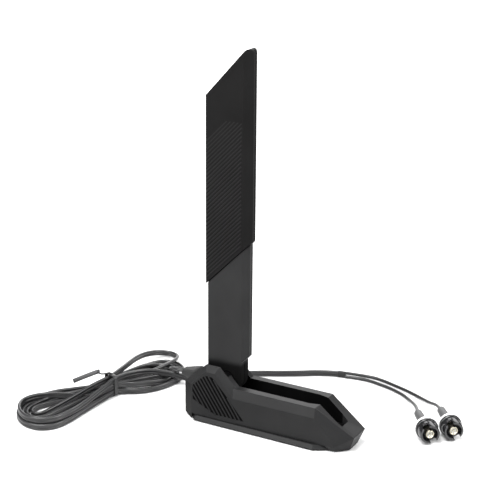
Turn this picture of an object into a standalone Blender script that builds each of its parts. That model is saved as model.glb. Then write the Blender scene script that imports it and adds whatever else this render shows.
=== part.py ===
"""Desk antenna for a computer's wireless card: a flat blade that folds down, like a
pocket knife, into the long trough of a weighted magnetic base. A flat twin cord leaves
the base's back, lies beside it in a tied hank, splits in two and ends in two push-on plugs.

X runs along the base from its hinge end to its nose, Y across it, and Z up. The origin
is under the middle of the base. Lengths below are in millimetres, and MM turns them into
metres.
"""

import math

import bmesh
import bpy
from mathutils import Matrix, Vector
from mathutils.geometry import convex_hull_2d

MM = 0.001
GAP = 0.3  # left between pieces that touch

# Base: one faceted housing over a bottom plate
BASE_REAR = -50.8
BASE_NOSE = 50.8
SIDE_HALF = 13.0
RIM_HALF = 10.6
RIM_TOP = 22.6
SHOULDER_TOP = 17.8
HOUSING_BOTTOM = 0.6
RAMP_START = 29.7
SLOT_END = 42.3
LIP_TOP = 12.3
LIP_HALF = 3.7
NOSE_TOP = 8.8
NOSE_HALF = 7.0
SLOT_HALF = 6.3
SLOT_FLOOR = 10.0
RECESS_HALF = 9.3
RECESS_REAR = -39.7
RECESS_FRONT = -23.6
TOWER_TOP = 32.8
PLATE_HALF = 15.0
PLATE_BOTTOM = 0.5
PLATE_TOP = 3.0

# Hinge between the tower's cheeks
PIVOT = (-27.0, 0.0, 25.0)
PIN_RADIUS = 1.5
PIN_PLAY = 0.1
EAR_INNER = 7.7
EAR_OUTER = 8.9

# Blade: a plain stem below, a slightly larger ribbed cover above
STEM_LEFT = -39.2
STEM_RIGHT = -14.9
STEM_HALF = 4.2
STEM_EDGE_HALF = 1.35
STEM_BEVEL = 3.6
COVER_LEFT = -40.2
COVER_RIGHT = -13.6
COVER_HALF = 4.9
COVER_EDGE_HALF = 1.6
COVER_BEVEL = 4.3
COVER_BOTTOM_LEFT = 77.3
COVER_BOTTOM_RIGHT = 103.9
BLADE_TOP = 205.6
COVER_SEAM = 0.5  # the groove under the cover's lower edge
SHELL_WALL = 1.4
PART_LINE = 0.15  # half of the seam between the two halves of a shell

# Cords
TWIN_WIDTH = 3.6
LEAD_DIAMETER = 1.8
BOOT_END = -57.1
BOOT_HEIGHT = 21.1
TIE_CENTRE = (-100.4, -8.8)
TIE_TURN = math.radians(-18)
HANK_BOTTOM = 0.9
HANK_TOP = 11.8

# Plugs, measured back from the front face along the plug's axis
PLUG_TURN = math.radians(-53.5)
PLUG_AXIS_HEIGHT = 6.25
PLUG_FRONTS = {"a": (81.6, 22.2), "b": (91.0, 32.4)}
COLLAR_RADIUS = 6.2
SHROUD_RADIUS = 5.05
SHROUD_BORE = 4.1
PLUG_LENGTH = 27.5

FINISHES = {
    "housing_plastic": ((0.045, 0.046, 0.047), 0.48, 0.0),
    "blade_plastic": ((0.050, 0.051, 0.053), 0.52, 0.0),
    "cover_plastic": ((0.030, 0.029, 0.030), 0.55, 0.0),
    "rubber": ((0.020, 0.020, 0.020), 0.85, 0.0),
    "steel": ((0.55, 0.55, 0.56), 0.35, 1.0),
    "zinc": ((0.40, 0.40, 0.42), 0.40, 1.0),
    "magnet_nickel": ((0.60, 0.60, 0.58), 0.25, 1.0),
    "board_green": ((0.03, 0.12, 0.06), 0.50, 0.0),
    "copper": ((0.72, 0.40, 0.25), 0.35, 1.0),
    "cord_jacket": ((0.035, 0.036, 0.037), 0.50, 0.0),
    "sleeve_rubber": ((0.13, 0.13, 0.13), 0.60, 0.0),
    "ring_white": ((0.80, 0.80, 0.79), 0.45, 0.0),
    "plug_plastic": ((0.018, 0.018, 0.020), 0.22, 0.0),
    "contact_metal": ((0.72, 0.68, 0.50), 0.28, 1.0),
    "insulator_white": ((0.75, 0.74, 0.70), 0.50, 0.0),
    "tie_plastic": ((0.040, 0.040, 0.041), 0.45, 0.0),
}


# ---------------------------------------------------------------- helpers

def make_material(name):
    colour, roughness, metallic = FINISHES[name]
    material = bpy.data.materials.new(name)
    material.use_nodes = True
    shader = material.node_tree.nodes["Principled BSDF"]
    shader.inputs["Base Color"].default_value = (*colour, 1.0)
    shader.inputs["Roughness"].default_value = roughness
    shader.inputs["Metallic"].default_value = metallic
    material.diffuse_color = (*colour, 1.0)
    return material


def add_object(name, bm, finish, at=(0, 0, 0), turn=0.0, parent=None, smooth=False):
    """A mesh in millimetres about its own origin becomes an object placed at `at`."""
    bmesh.ops.recalc_face_normals(bm, faces=bm.faces)
    bmesh.ops.scale(bm, vec=(MM, MM, MM), verts=bm.verts)
    mesh = bpy.data.meshes.new(name)
    bm.to_mesh(mesh)
    bm.free()
    obj = bpy.data.objects.new(name, mesh)
    bpy.context.scene.collection.objects.link(obj)
    if finish:
        mesh.materials.append(materials[finish])
    if smooth:
        mesh.shade_smooth()
        mesh.set_sharp_from_angle(angle=math.radians(35))
    place(obj, at, turn, parent)
    return obj


def place(obj, at, turn=0.0, parent=None):
    """Puts the object at `at` in the world, whatever its parent's own place is."""
    shift = parent.location if parent else Vector()
    obj.location = Vector(at) * MM - shift
    obj.rotation_euler.z = turn
    obj.parent = parent


def cutter(obj):
    obj.hide_render = True
    obj.display_type = "WIRE"
    return obj


def boolean(obj, other, operation="DIFFERENCE"):
    modifier = obj.modifiers.new(operation.lower(), "BOOLEAN")
    modifier.operation = operation
    modifier.solver = "EXACT"
    modifier.object = cutter(other)


def both_sides(points):
    return [(x, side * y, z) for x, y, z in points for side in (-1, 1)]


def hull(points):
    bm = bmesh.new()
    verts = [bm.verts.new(point) for point in points]
    made = bmesh.ops.convex_hull(bm, input=verts)
    spare = [v for v in made["geom_interior"] + made["geom_unused"] if isinstance(v, bmesh.types.BMVert)]
    bmesh.ops.delete(bm, geom=list(set(spare)), context="VERTS")
    bmesh.ops.dissolve_limit(bm, angle_limit=math.radians(0.5), verts=bm.verts, edges=bm.edges)
    return bm


def prism(outline, axis, low, high):
    """Extrudes a flat outline: (x, y) points along Z, or (x, z) points along Y."""
    bm = bmesh.new()
    to_3d = (lambda a, b: (a, b, low)) if axis == "Z" else (lambda a, b: (a, low, b))
    face = bm.faces.new([bm.verts.new(to_3d(a, b)) for a, b in outline])
    grown = bmesh.ops.extrude_face_region(bm, geom=[face])
    moved = [item for item in grown["geom"] if isinstance(item, bmesh.types.BMVert)]
    depth = high - low
    bmesh.ops.translate(bm, vec=(0, 0, depth) if axis == "Z" else (0, depth, 0), verts=moved)
    return bm


def box(x, y, z):
    return prism([(x[0], y[0]), (x[1], y[0]), (x[1], y[1]), (x[0], y[1])], "Z", *z)


def mirror_outline(points):
    """An outline given on its +Y side, from one end of the X axis to the other."""
    return points + [(x, -y) for x, y in reversed(points)]


def arc(centre, radius, start, end, steps):
    """Points from one angle to another, in degrees, both ends included."""
    angles = [math.radians(start + (end - start) * i / steps) for i in range(steps + 1)]
    return [(centre[0] + radius * math.cos(a), centre[1] + radius * math.sin(a)) for a in angles]


def turned(profile, segments=24, tube=False):
    """A solid turned about the X axis from (x, radius) points, or a tube if they go all the way round."""
    bm = bmesh.new()
    rings = []
    for x, radius in profile:
        angles = [2 * math.pi * i / segments for i in range(segments)]
        rings.append([bm.verts.new((x, radius * math.cos(a), radius * math.sin(a))) for a in angles])
    pairs = list(zip(rings, rings[1:]))
    if tube:
        pairs.append((rings[-1], rings[0]))
    for first, second in pairs:
        for i in range(segments):
            j = (i + 1) % segments
            bm.faces.new((first[i], first[j], second[j], second[i]))
    if not tube:
        bm.faces.new(rings[0])
        bm.faces.new(rings[-1])
    return bm


def to_y_axis(bm):
    bmesh.ops.rotate(bm, cent=(0, 0, 0), matrix=Matrix.Rotation(math.pi / 2, 3, "Z"), verts=bm.verts)
    return bm


def smooth_route(points, spacing):
    """A Catmull-Rom curve through the points, read at about equal distances."""
    points = [Vector(p) for p in points]
    ends = [2 * points[0] - points[1], *points, 2 * points[-1] - points[-2]]
    fine = []
    for p0, p1, p2, p3 in zip(ends, ends[1:], ends[2:], ends[3:]):
        for i in range(40):
            t = i / 40
            fine.append(0.5 * (2 * p1 + (p2 - p0) * t + (2 * p0 - 5 * p1 + 4 * p2 - p3) * t**2
                               + (3 * p1 - p0 - 3 * p2 + p3) * t**3))
    fine.append(points[-1])
    length = sum((b - a).length for a, b in zip(fine, fine[1:]))
    step = length / round(length / spacing)
    route, walked = [fine[0]], 0.0
    for a, b in zip(fine, fine[1:]):
        walked += (b - a).length
        if walked >= step:
            route.append(b)
            walked -= step
    route[-1] = fine[-1]
    return route


def tube(name, points, diameter, finish, spacing=2.5, parent=None):
    """A plain round cord along a route, as a curve with filled ends."""
    curve = bpy.data.curves.new(name, "CURVE")
    curve.dimensions = "3D"
    curve.bevel_depth = diameter / 2 * MM
    curve.bevel_resolution = 2
    curve.use_fill_caps = True
    route = smooth_route(points, spacing * diameter)
    spline = curve.splines.new("POLY")
    spline.points.add(len(route) - 1)
    start = route[0]
    for point, place_mm in zip(spline.points, route):
        point.co = (*((place_mm - start) * MM), 1.0)
    curve.materials.append(materials[finish])
    obj = bpy.data.objects.new(name, curve)
    bpy.context.scene.collection.objects.link(obj)
    place(obj, start, parent=parent)
    return obj


# ---------------------------------------------------------------- base

def base_outline():
    """The bottom plate's outline, seen from above."""
    return mirror_outline([(-47.6, 9.0), (-41.8, PLATE_HALF), (30.6, PLATE_HALF), (37.6, 10.9), (39.4, 9.4)])


def make_housing():
    body = both_sides([
        (-44.7, SIDE_HALF, HOUSING_BOTTOM),
        (-44.7, SIDE_HALF, SHOULDER_TOP),
        (30.2, SIDE_HALF, SHOULDER_TOP),
        (39.0, SIDE_HALF, 9.6),
        (41.6, 12.2, 3.6),
        (42.2, 10.4, HOUSING_BOTTOM),
        (47.6, 4.7, HOUSING_BOTTOM),
        (-40.0, RIM_HALF, RIM_TOP),
        (RAMP_START, RIM_HALF, RIM_TOP),
        (BASE_NOSE, NOSE_HALF, NOSE_TOP),
    ])
    tower = both_sides([
        (BASE_REAR, 9.0, 1.6),
        (BASE_REAR, 9.0, 20.2),
        (-49.8, 8.6, HOUSING_BOTTOM),
        (-44.7, SIDE_HALF, HOUSING_BOTTOM),
        (-44.7, SIDE_HALF, 20.6),
        (-35.4, SIDE_HALF, 29.9),
        (-29.9, SIDE_HALF, 29.8),
        (-18.6, SIDE_HALF, SHOULDER_TOP),
        (-13.0, SIDE_HALF - 0.05, HOUSING_BOTTOM),
        (-36.7, RECESS_HALF + 0.4, TOWER_TOP),
        (-28.5, RECESS_HALF + 0.4, TOWER_TOP),
        (-18.2, RECESS_HALF + 0.4, RIM_TOP - 0.1),
    ])
    housing = add_object("base_housing", hull(body), "housing_plastic")
    boolean(housing, add_object("tower_form", hull(tower), None), "UNION")

    # The ramp is dished: its two bands lean in towards the slot's end.
    dish_low = both_sides([
        (RAMP_START, RIM_HALF - 0.4, RIM_TOP),
        (BASE_NOSE - 0.4, NOSE_HALF - 0.3, NOSE_TOP + 0.15),
        (SLOT_END, LIP_HALF, LIP_TOP),
    ])
    dish = hull(dish_low + [(x, y, z + 6) for x, y, z in dish_low])
    boolean(housing, add_object("ramp_dish", dish, None))

    slot = mirror_outline([
        (RECESS_REAR, RECESS_HALF), (RECESS_FRONT, RECESS_HALF), (RECESS_FRONT, SLOT_HALF),
        (24.0, SLOT_HALF), (RAMP_START, 4.8), (38.6, 4.55), (SLOT_END, LIP_HALF),
    ])
    boolean(housing, add_object("slot_form", prism(slot, "Z", SLOT_FLOOR, 50), None))

    # Underneath: a pocket for the ballast, narrower at its ends to leave the screw posts
    pocket = mirror_outline([
        (-43.0, 6.4), (-33.0, 6.4), (-33.0, 10.8), (24.0, 10.8), (24.0, 6.0), (34.0, 6.0),
    ])
    boolean(housing, add_object("pocket_form", prism(pocket, "Z", -2, 8.0), None))
    seat = [(x + math.copysign(GAP, x), y + math.copysign(GAP, y)) for x, y in base_outline()]
    boolean(housing, add_object("plate_seat", prism(seat, "Z", -2, PLATE_TOP + GAP), None))

    # Cord entry: a pocket for the boot, a shaft down to the underside, a hole under the hinge
    entry_half = 3.7
    boolean(housing, add_object("boot_pocket", box((-60, -46.8), (-4.9, 4.9),
            (BOOT_HEIGHT - entry_half, BOOT_HEIGHT + entry_half)), None))
    boolean(housing, add_object("coax_shaft", box((-47.2, -42.4), (-3.0, 3.0), (-2, 22.4)), None))
    boolean(housing, add_object("coax_hole", box((-29.2, -24.8), (-3.2, 3.2), (6, 12)), None))
    for x, y in SCREW_PLACES:
        hole = turned([(-1, 1.25), (9.2, 1.25)], 12)
        bmesh.ops.rotate(hole, cent=(0, 0, 0), matrix=Matrix.Rotation(-math.pi / 2, 3, "Y"), verts=hole.verts)
        boolean(housing, add_object("screw_hole", hole, None, at=(x, y, 0)))
    return housing


SCREW_PLACES = [(-38.0, -9.9), (-38.0, 9.9), (29.0, -8.9), (29.0, 8.9)]


def make_plate():
    low = [(x, y, PLATE_BOTTOM) for x, y in base_outline()]
    high = [(x * 0.985, y - math.copysign(1.4, y), PLATE_TOP) for x, y in base_outline()]
    lifted = [(x, y, PLATE_BOTTOM + 0.5) for x, y in base_outline()]
    plate = add_object("base_plate", hull(low + lifted + high), "housing_plastic")
    pad = [(x * 0.95, y * 0.88) for x, y in base_outline()]
    recess = [(x + math.copysign(GAP, x), y + math.copysign(GAP, y)) for x, y in pad]
    boolean(plate, add_object("pad_recess", prism(recess, "Z", -1, 1.1), None))
    add_object("base_pad", prism(pad, "Z", 0.0, 0.8), "rubber")
    for number, (x, y) in enumerate(SCREW_PLACES, 1):
        # The screw's head sits in a step of the plate, under the pad.
        step = turned([(0.0, 2.3), (2.0, 2.3), (2.0, 1.4), (6.0, 1.4)], 16)
        stand_up = Matrix.Rotation(-math.pi / 2, 3, "Y")
        bmesh.ops.rotate(step, cent=(0, 0, 0), matrix=stand_up, verts=step.verts)
        boolean(plate, add_object("screw_step", step, None, at=(x, y, 0)))
        screw = turned([(1.1, 1.0), (1.1, 2.0), (1.7, 2.0), (1.7, 1.0), (8.6, 0.95), (9.0, 0.5)], 12)
        bmesh.ops.rotate(screw, cent=(0, 0, 0), matrix=stand_up, verts=screw.verts)
        add_object(f"base_screw_{number}", screw, "steel", at=(x, y, 0), smooth=True)


def make_ballast():
    add_object("ballast_plate", box((-21.5, 22.0), (-10.2, 10.2), (5.2, 7.6)), "steel")
    for name, x in (("magnet_rear", -12.0), ("magnet_front", 13.0)):
        disc = turned([(3.35, 6.5), (4.85, 6.5)], 24)
        bmesh.ops.rotate(disc, cent=(0, 0, 0), matrix=Matrix.Rotation(-math.pi / 2, 3, "Y"), verts=disc.verts)
        add_object(name, disc, "magnet_nickel", at=(x, 0, 0), smooth=True)


def make_entry():
    """The boot round the cord at the base's back, the clamp and the two coax cables inside."""
    free = [(BOOT_END, 2.6 * a, BOOT_HEIGHT + 1.4 * b) for a in (-1, 1) for b in (-1, 1)]
    wide = [(-47.2, 4.5 * a, BOOT_HEIGHT + 3.4 * b) for a in (-1, 1) for b in (-1, 1)]
    middle = [(-52.0, 4.0 * a, BOOT_HEIGHT + 2.7 * b) for a in (-1, 1) for b in (-1, 1)]
    add_object("cable_boot", hull(free + middle + wide), "rubber")
    add_object("cable_clamp", box((-41.0, -37.0), (-5.6, 5.6), (3.4, 4.6)), "steel")
    for name, y in (("base_coax_a", -1.3), ("base_coax_b", 1.3)):
        route = [(-46.8, y, 20.9), (-45.4, y, 20.2), (-44.6, y, 17.5), (-44.6, y, 11.0), (-43.4, y, 7.0),
                 (-40.0, y, 5.8), (-34.0, y, 5.8), (-29.5, y, 6.4), (-27.2, y, 8.6), (-27.0, y, 11.7)]
        tube(name, route, LEAD_DIAMETER, "cord_jacket", spacing=1.2)


# ---------------------------------------------------------------- hinge

def make_hinge(blade):
    px, _, pz = PIVOT
    ear = [(px - 6, 10.3), (px + 3, 10.3)] + arc((px, pz), 3.0, 0, 180, 10)
    bracket = add_object("hinge_bracket", prism(ear, "Y", -EAR_OUTER, EAR_OUTER), "zinc")
    window = [(px - 9, 11.6), (px + 9, 11.6), (px + 9, 40), (px - 9, 40)]
    boolean(bracket, add_object("ear_gap", prism(window, "Y", -EAR_INNER, EAR_INNER), None))
    bore = to_y_axis(turned([(-12, PIN_RADIUS + PIN_PLAY), (12, PIN_RADIUS + PIN_PLAY)], 20))
    boolean(bracket, add_object("ear_bore", bore, None, at=(px, 0, pz)))
    boolean(bracket, add_object("bracket_hole", box((-29.2, -24.8), (-3.2, 3.2), (9, 13)), None))

    pin = to_y_axis(turned([(-EAR_OUTER, PIN_RADIUS), (EAR_OUTER, PIN_RADIUS)], 20))
    add_object("hinge_pin", pin, "steel", at=PIVOT, smooth=True)
    for name, side in (("friction_washer_near", -1), ("friction_washer_far", 1)):
        inner, outer = 6.9, 7.4
        ring = to_y_axis(turned([(inner, 1.8), (inner, 3.0), (outer, 3.0), (outer, 1.8)], 20, tube=True))
        if side < 0:
            bmesh.ops.rotate(ring, cent=(0, 0, 0), matrix=Matrix.Rotation(math.pi, 3, "Z"), verts=ring.verts)
        add_object(name, ring, "steel", at=PIVOT, smooth=True)

    # The blade's own half of the hinge: a barrel with a tongue that runs up into the stem
    barrel = to_y_axis(turned([(-6.6, 3.2), (6.6, 3.2)], 24))
    hub = add_object("hinge_hub", barrel, "zinc", at=PIVOT, parent=blade)
    tongue = box((-3.9, 3.6), (-1.7, 1.7), (0.0, 18.0))
    boolean(hub, add_object("hub_tongue", tongue, None, at=PIVOT, parent=blade), "UNION")
    hub_bore = to_y_axis(turned([(-9, PIN_RADIUS + PIN_PLAY), (9, PIN_RADIUS + PIN_PLAY)], 20))
    boolean(hub, add_object("hub_bore", hub_bore, None, at=PIVOT, parent=blade))


# ---------------------------------------------------------------- blade

def diagonal(x):
    """Height of the cover's slanted lower edge at x."""
    share = (x - COVER_LEFT) / (COVER_RIGHT - COVER_LEFT)
    return COVER_BOTTOM_LEFT + share * (COVER_BOTTOM_RIGHT - COVER_BOTTOM_LEFT)


def stem_outline():
    px, _, pz = PIVOT
    heel, toe = px - STEM_LEFT, 8.4
    foot = arc((px, pz), heel, 180, 250, 8) + arc((px, pz), toe, 290, 360, 6)
    return ([(STEM_LEFT, diagonal(STEM_LEFT) - COVER_SEAM)] + foot
            + [(-18.6, 35.2), (STEM_RIGHT, 39.0), (STEM_RIGHT, diagonal(STEM_RIGHT) - COVER_SEAM)])


def cover_outline():
    top_left = 180.0
    return [
        (COVER_LEFT, COVER_BOTTOM_LEFT), (COVER_RIGHT, COVER_BOTTOM_RIGHT),
        (COVER_RIGHT, BLADE_TOP - 1.5), (COVER_RIGHT - 0.9, BLADE_TOP - 0.4),
        (COVER_RIGHT - 2.4, BLADE_TOP), (COVER_RIGHT - 3.6, BLADE_TOP - 0.3), (COVER_LEFT, top_left),
    ]


def edge_wedge(right, bevel, half, edge_half, low, high):
    """What the long bevel takes off one face, along the blade's right side."""
    return prism([(right - bevel, half), (right + 0.4, edge_half - 0.25), (right + 2, edge_half), (right, half + 2),
                  (right - bevel, half + 2)], "Z", low, high)


def flip_y(bm):
    bmesh.ops.scale(bm, vec=(1, -1, 1), verts=bm.verts)
    return bm


def blade_piece(name, bm, finish, side, blade):
    """Blade pieces are drawn at +Y; the near half is their mirror image."""
    return add_object(name, bm if side > 0 else flip_y(bm), finish, parent=blade, at=(0, 0, 0))


def make_stem(blade):
    px, _, pz = PIVOT
    left, right = STEM_LEFT + SHELL_WALL, STEM_RIGHT - STEM_BEVEL - 0.8
    for name, side in (("stem_shell_near", -1), ("stem_shell_far", 1)):
        shell = blade_piece(name, prism(stem_outline(), "Y", PART_LINE, STEM_HALF), "blade_plastic", side, blade)
        spigot = [(left, diagonal(left) - 6), (right, diagonal(right) - 6),
                  (right, diagonal(right) + 9), (left, diagonal(left) + 9)]
        boolean(shell, blade_piece("spigot_form", prism(spigot, "Y", PART_LINE, 3.0), None, side, blade), "UNION")
        wedge = edge_wedge(STEM_RIGHT, STEM_BEVEL, STEM_HALF, STEM_EDGE_HALF, 25, 120)
        boolean(shell, blade_piece("stem_wedge", wedge, None, side, blade))
        inner = arc((px, pz), px - left, 180, 240, 6) + [(px + 3.9, pz - 4), (right, 40)]
        inner = [(left, diagonal(left) + 12)] + inner + [(right, diagonal(right) + 12)]
        cavity = [(x + (1.2 if x == left and z > 60 else 0), z) for x, z in inner]
        boolean(shell, blade_piece("stem_cavity", prism(cavity, "Y", -1, 2.0), None, side, blade))
        bore = to_y_axis(turned([(-9, 3.5), (9, 3.5)], 24))
        boolean(shell, add_object("stem_bore", bore, None, at=PIVOT, parent=blade))


def make_cover(blade):
    left, right = COVER_LEFT + 2.0, COVER_RIGHT - COVER_BEVEL - 1.0
    top_left, top_right = 179.3, 201.6
    for name, side in (("blade_cover_near", -1), ("blade_cover_far", 1)):
        shell = blade_piece(name, prism(cover_outline(), "Y", PART_LINE, COVER_HALF), "cover_plastic", side, blade)
        wedge = edge_wedge(COVER_RIGHT, COVER_BEVEL, COVER_HALF, COVER_EDGE_HALF, 70, 220)
        boolean(shell, blade_piece("cover_wedge", wedge, None, side, blade))
        cavity = [(left, diagonal(left) - 5), (right, diagonal(right) - 5),
                  (right, top_right - 3), (left, top_left)]
        boolean(shell, blade_piece("cover_cavity", prism(cavity, "Y", -1, 3.3), None, side, blade))


def make_radiator(blade):
    """The printed board inside the blade, its two copper patches, and the coax that feeds them."""
    board = [(-35.6, 66.0), (-21.6, 80.0), (-21.6, 194.0), (-35.6, 178.0)]
    add_object("radiator_board", prism(board, "Y", -0.5, 0.5), "board_green", parent=blade)
    low = [(-34.6, 86), (-31.4, 86), (-31.4, 128), (-26.0, 128), (-26.0, 92), (-22.8, 92),
           (-22.8, 136), (-34.6, 136)]
    add_object("radiator_low_band", prism(low, "Y", -1.15, -0.8), "copper", parent=blade)
    high = [(-34.6, 140), (-22.8, 140), (-22.8, 186), (-25.8, 186), (-25.8, 148), (-31.6, 148),
            (-31.6, 176), (-34.6, 176)]
    add_object("radiator_high_band", prism(high, "Y", 0.8, 1.15), "copper", parent=blade)
    for name, x in (("blade_coax_a", -32.6), ("blade_coax_b", -35.2)):
        route = [(x, 0, 21.5), (x, 0, 35), (x, 0, 50), (x, 0, 64.6)]
        tube(name, route, 1.6, "cord_jacket", spacing=4, parent=blade)


# ---------------------------------------------------------------- cord and plugs

RUN_OUT = [(-57.4, 0, 21.1), (-61.6, 0.3, 21.0), (-65.8, 2.4, 19.6), (-69.6, 7.6, 16.6),
           (-72.4, 14.8, 12.6), (-74.3, 19.0, 10.2)]
RUN_BACK = [(-73.0, 22.0, 5.4), (-67.4, 24.8, 3.4), (-62.4, 29.4, 2.1), (-59.0, 35.4, 1.9), (-56.2, 40.8, 1.9),
            (-51.4, 46.6, 1.9), (-42.4, 53.8, 1.9), (-34.0, 58.8, 1.9), (-26.4, 63.2, 1.9), (-19.0, 67.8, 1.9),
            (-13.0, 71.9, 1.9), (-8.6, 74.5, 1.9), (-3.6, 76.9, 1.9), (1.0, 78.4, 1.9)]
SPLIT = [(1.3, 78.5, 1.9), (5.3, 79.5, 1.9)]
LEAD_A = [(5.6, 79.0, 0.95), (9.5, 79.9, 0.95), (15.0, 80.6, 0.95), (20.6, 80.5, 0.95), (26.2, 79.3, 0.95),
          (32.0, 77.8, 0.95), (37.4, 75.9, 0.95), (44.4, 72.4, 1.0), (50.7, 67.4, 1.3), (56.5, 60.4, 2.8),
          (61.2, 52.4, 5.0), (65.06, 44.55, 6.25)]
LEAD_B = [(5.5, 79.9, 2.8), (8.6, 81.4, 2.4), (12.4, 83.8, 1.6), (16.6, 85.6, 1.05), (21.0, 85.9, 0.95),
          (27.4, 84.6, 0.95), (34.8, 82.2, 0.95), (44.6, 78.6, 0.95), (54.0, 74.0, 1.1), (62.3, 68.0, 2.3),
          (69.2, 61.6, 4.7), (74.46, 54.75, 6.25)]


def round_ended(circles, steps=14):
    """The outline that a band stretched round some (x, y, radius) circles takes."""
    points = []
    for x, y, radius in circles:
        points += arc((x, y), radius, 0, 360 - 360 / steps, steps - 1)
    return [points[i] for i in convex_hull_2d(points)]


def make_hank():
    """The wound cord: a long lobe on one side of the tie and a fan of loops on the other."""
    waist = (*TIE_CENTRE, 3.6)
    lobe = round_ended([(-115.8, -50.5, 16.5), waist])
    fan = round_ended([waist, (-87.6, 24.5, 11.6), (-98.5, 43.4, 11.0)])
    hank = add_object("cord_hank", prism(lobe, "Z", HANK_BOTTOM, HANK_TOP), "cord_jacket")
    boolean(hank, add_object("fan_form", prism(fan, "Z", HANK_BOTTOM, HANK_TOP), None), "UNION")

    thick, half_width, half_length = 0.6, 5.2, 1.1
    low, high = HANK_BOTTOM - GAP, HANK_TOP + GAP
    ring = box((-half_width - thick, half_width + thick), (-half_length, half_length), (low - 0.5, high + thick))
    tie = add_object("twist_tie", ring, "tie_plastic", at=(*TIE_CENTRE, 0), turn=TIE_TURN)
    window = box((-half_width, half_width), (-3, 3), (low, high))
    boolean(tie, add_object("tie_window", window, None, at=(*TIE_CENTRE, 0), turn=TIE_TURN))
    tail = [(x + side * 1.1, y, z + lift * 0.6) for x, y, z in [(-2.0, -0.2, 12.9), (-7.8, -20.0, 13.2)]
            for side in (-1, 1) for lift in (-1, 1)]
    boolean(tie, add_object("tie_tail", hull(tail), None, at=(*TIE_CENTRE, 0), turn=TIE_TURN), "UNION")


def make_split():
    """The sleeve where the twin cord parts into two leads."""
    start, end = (Vector(point) for point in SPLIT)
    along = end - start
    block = box((0, along.length), (-1.3, 1.3), (-1.85, 1.85))
    bmesh.ops.bevel(block, geom=block.edges[:], offset=0.5, segments=1, affect="EDGES")
    add_object("cord_split", block, "rubber", at=start, turn=math.atan2(along.y, along.x))


def make_plug(letter):
    """A push-on antenna plug, drawn with its front face at x = 0 and its cord towards -X."""
    at = (*PLUG_FRONTS[letter], PLUG_AXIS_HEIGHT)

    def piece(part, bm, finish):
        return add_object(f"plug_{letter}_{part}", bm, finish, at=at, turn=PLUG_TURN, smooth=True)

    piece("sleeve", turned([(-PLUG_LENGTH, 2.2), (-12.4, 2.55), (-12.0, 3.4), (-10.6, 3.4)], 20), "sleeve_rubber")
    ring = [(-10.3, 2.4), (-10.3, 5.9), (-8.7, 5.9), (-8.7, 2.4)]
    piece("ring", turned(ring, 28, tube=True), "ring_white")
    shroud = [(-8.4, 2.6), (-8.4, 5.95), (-8.1, COLLAR_RADIUS), (-4.9, COLLAR_RADIUS), (-4.6, 5.75), (-5.8, 5.75),
              (-5.8, SHROUD_RADIUS), (0.0, SHROUD_RADIUS), (0.0, SHROUD_BORE), (-7.4, SHROUD_BORE), (-7.4, 2.6)]
    shell = piece("shell", turned(shroud, 32, tube=True), "plug_plastic")
    slots = box((-4.4, 2.0), (-9.0, 9.0), (-1.7, 1.7))
    bmesh.ops.rotate(slots, cent=(0, 0, 0), matrix=Matrix.Rotation(math.radians(-62), 3, "X"), verts=slots.verts)
    boolean(shell, add_object("shroud_slots", slots, None, at=at, turn=PLUG_TURN))
    contact = [(-8.2, 1.75), (-8.2, 2.25), (-0.4, 2.25), (-0.4, 1.75)]
    piece("contact", turned(contact, 20, tube=True), "contact_metal")
    insulator = [(-8.0, 0.8), (-8.0, 1.45), (-1.0, 1.45), (-1.0, 0.8)]
    piece("insulator", turned(insulator, 16, tube=True), "insulator_white")
    piece("pin", turned([(-7.8, 0.5), (-1.2, 0.5), (-0.7, 0.25)], 10), "contact_metal")


def make_cords():
    tube("cord_run_out", RUN_OUT, TWIN_WIDTH, "cord_jacket", spacing=1.0)
    make_hank()
    tube("cord_run_back", RUN_BACK, TWIN_WIDTH, "cord_jacket", spacing=1.0)
    make_split()
    tube("lead_a", LEAD_A, LEAD_DIAMETER, "cord_jacket")
    tube("lead_b", LEAD_B, LEAD_DIAMETER, "cord_jacket")
    make_plug("a")
    make_plug("b")


# ---------------------------------------------------------------- assembly

for item in list(bpy.data.objects):
    bpy.data.objects.remove(item, do_unlink=True)
materials = {name: make_material(name) for name in FINISHES}

blade_hinge = bpy.data.objects.new("blade_hinge", None)
bpy.context.scene.collection.objects.link(blade_hinge)
blade_hinge.location = Vector(PIVOT) * MM

make_housing()
make_plate()
make_ballast()
make_entry()
make_hinge(blade_hinge)
make_stem(blade_hinge)
make_cover(blade_hinge)
make_radiator(blade_hinge)
make_cords()
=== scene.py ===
# %% [markdown]
# # A folding desk antenna
#
# The object is a flat antenna blade that stands in the trough of a heavy, faceted base and
# folds down into it like a pocket knife. A flat twin cord leaves the base's back, lies
# beside it in a tied hank, splits in two and ends in two push-on plugs.
#
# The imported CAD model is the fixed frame. It already has every hard piece at its size and
# place, so this script is about looks: softened edges, moulded ribs, soft cord and surfaces
# that take the light the way plastic, rubber and plated metal do. One hard piece is shaped
# anew: the plugs' shells, which have a shorter collar and a longer bare skirt than the CAD's.

import math

import bmesh
import bpy
import numpy as np
from mathutils import Matrix, Quaternion, Vector


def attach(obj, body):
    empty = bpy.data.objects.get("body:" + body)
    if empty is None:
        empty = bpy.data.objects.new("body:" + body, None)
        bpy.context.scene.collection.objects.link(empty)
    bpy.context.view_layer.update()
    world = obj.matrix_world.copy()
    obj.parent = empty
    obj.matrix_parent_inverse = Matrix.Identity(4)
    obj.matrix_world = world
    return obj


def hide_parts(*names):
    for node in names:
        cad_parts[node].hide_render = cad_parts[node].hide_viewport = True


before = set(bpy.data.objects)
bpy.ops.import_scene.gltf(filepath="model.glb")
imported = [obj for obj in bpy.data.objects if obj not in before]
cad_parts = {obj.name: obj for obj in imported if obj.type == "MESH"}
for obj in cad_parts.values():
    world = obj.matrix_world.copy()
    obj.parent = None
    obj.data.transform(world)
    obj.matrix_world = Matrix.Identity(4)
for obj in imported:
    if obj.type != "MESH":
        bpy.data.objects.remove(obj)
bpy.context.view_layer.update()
MM = 0.001

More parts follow.
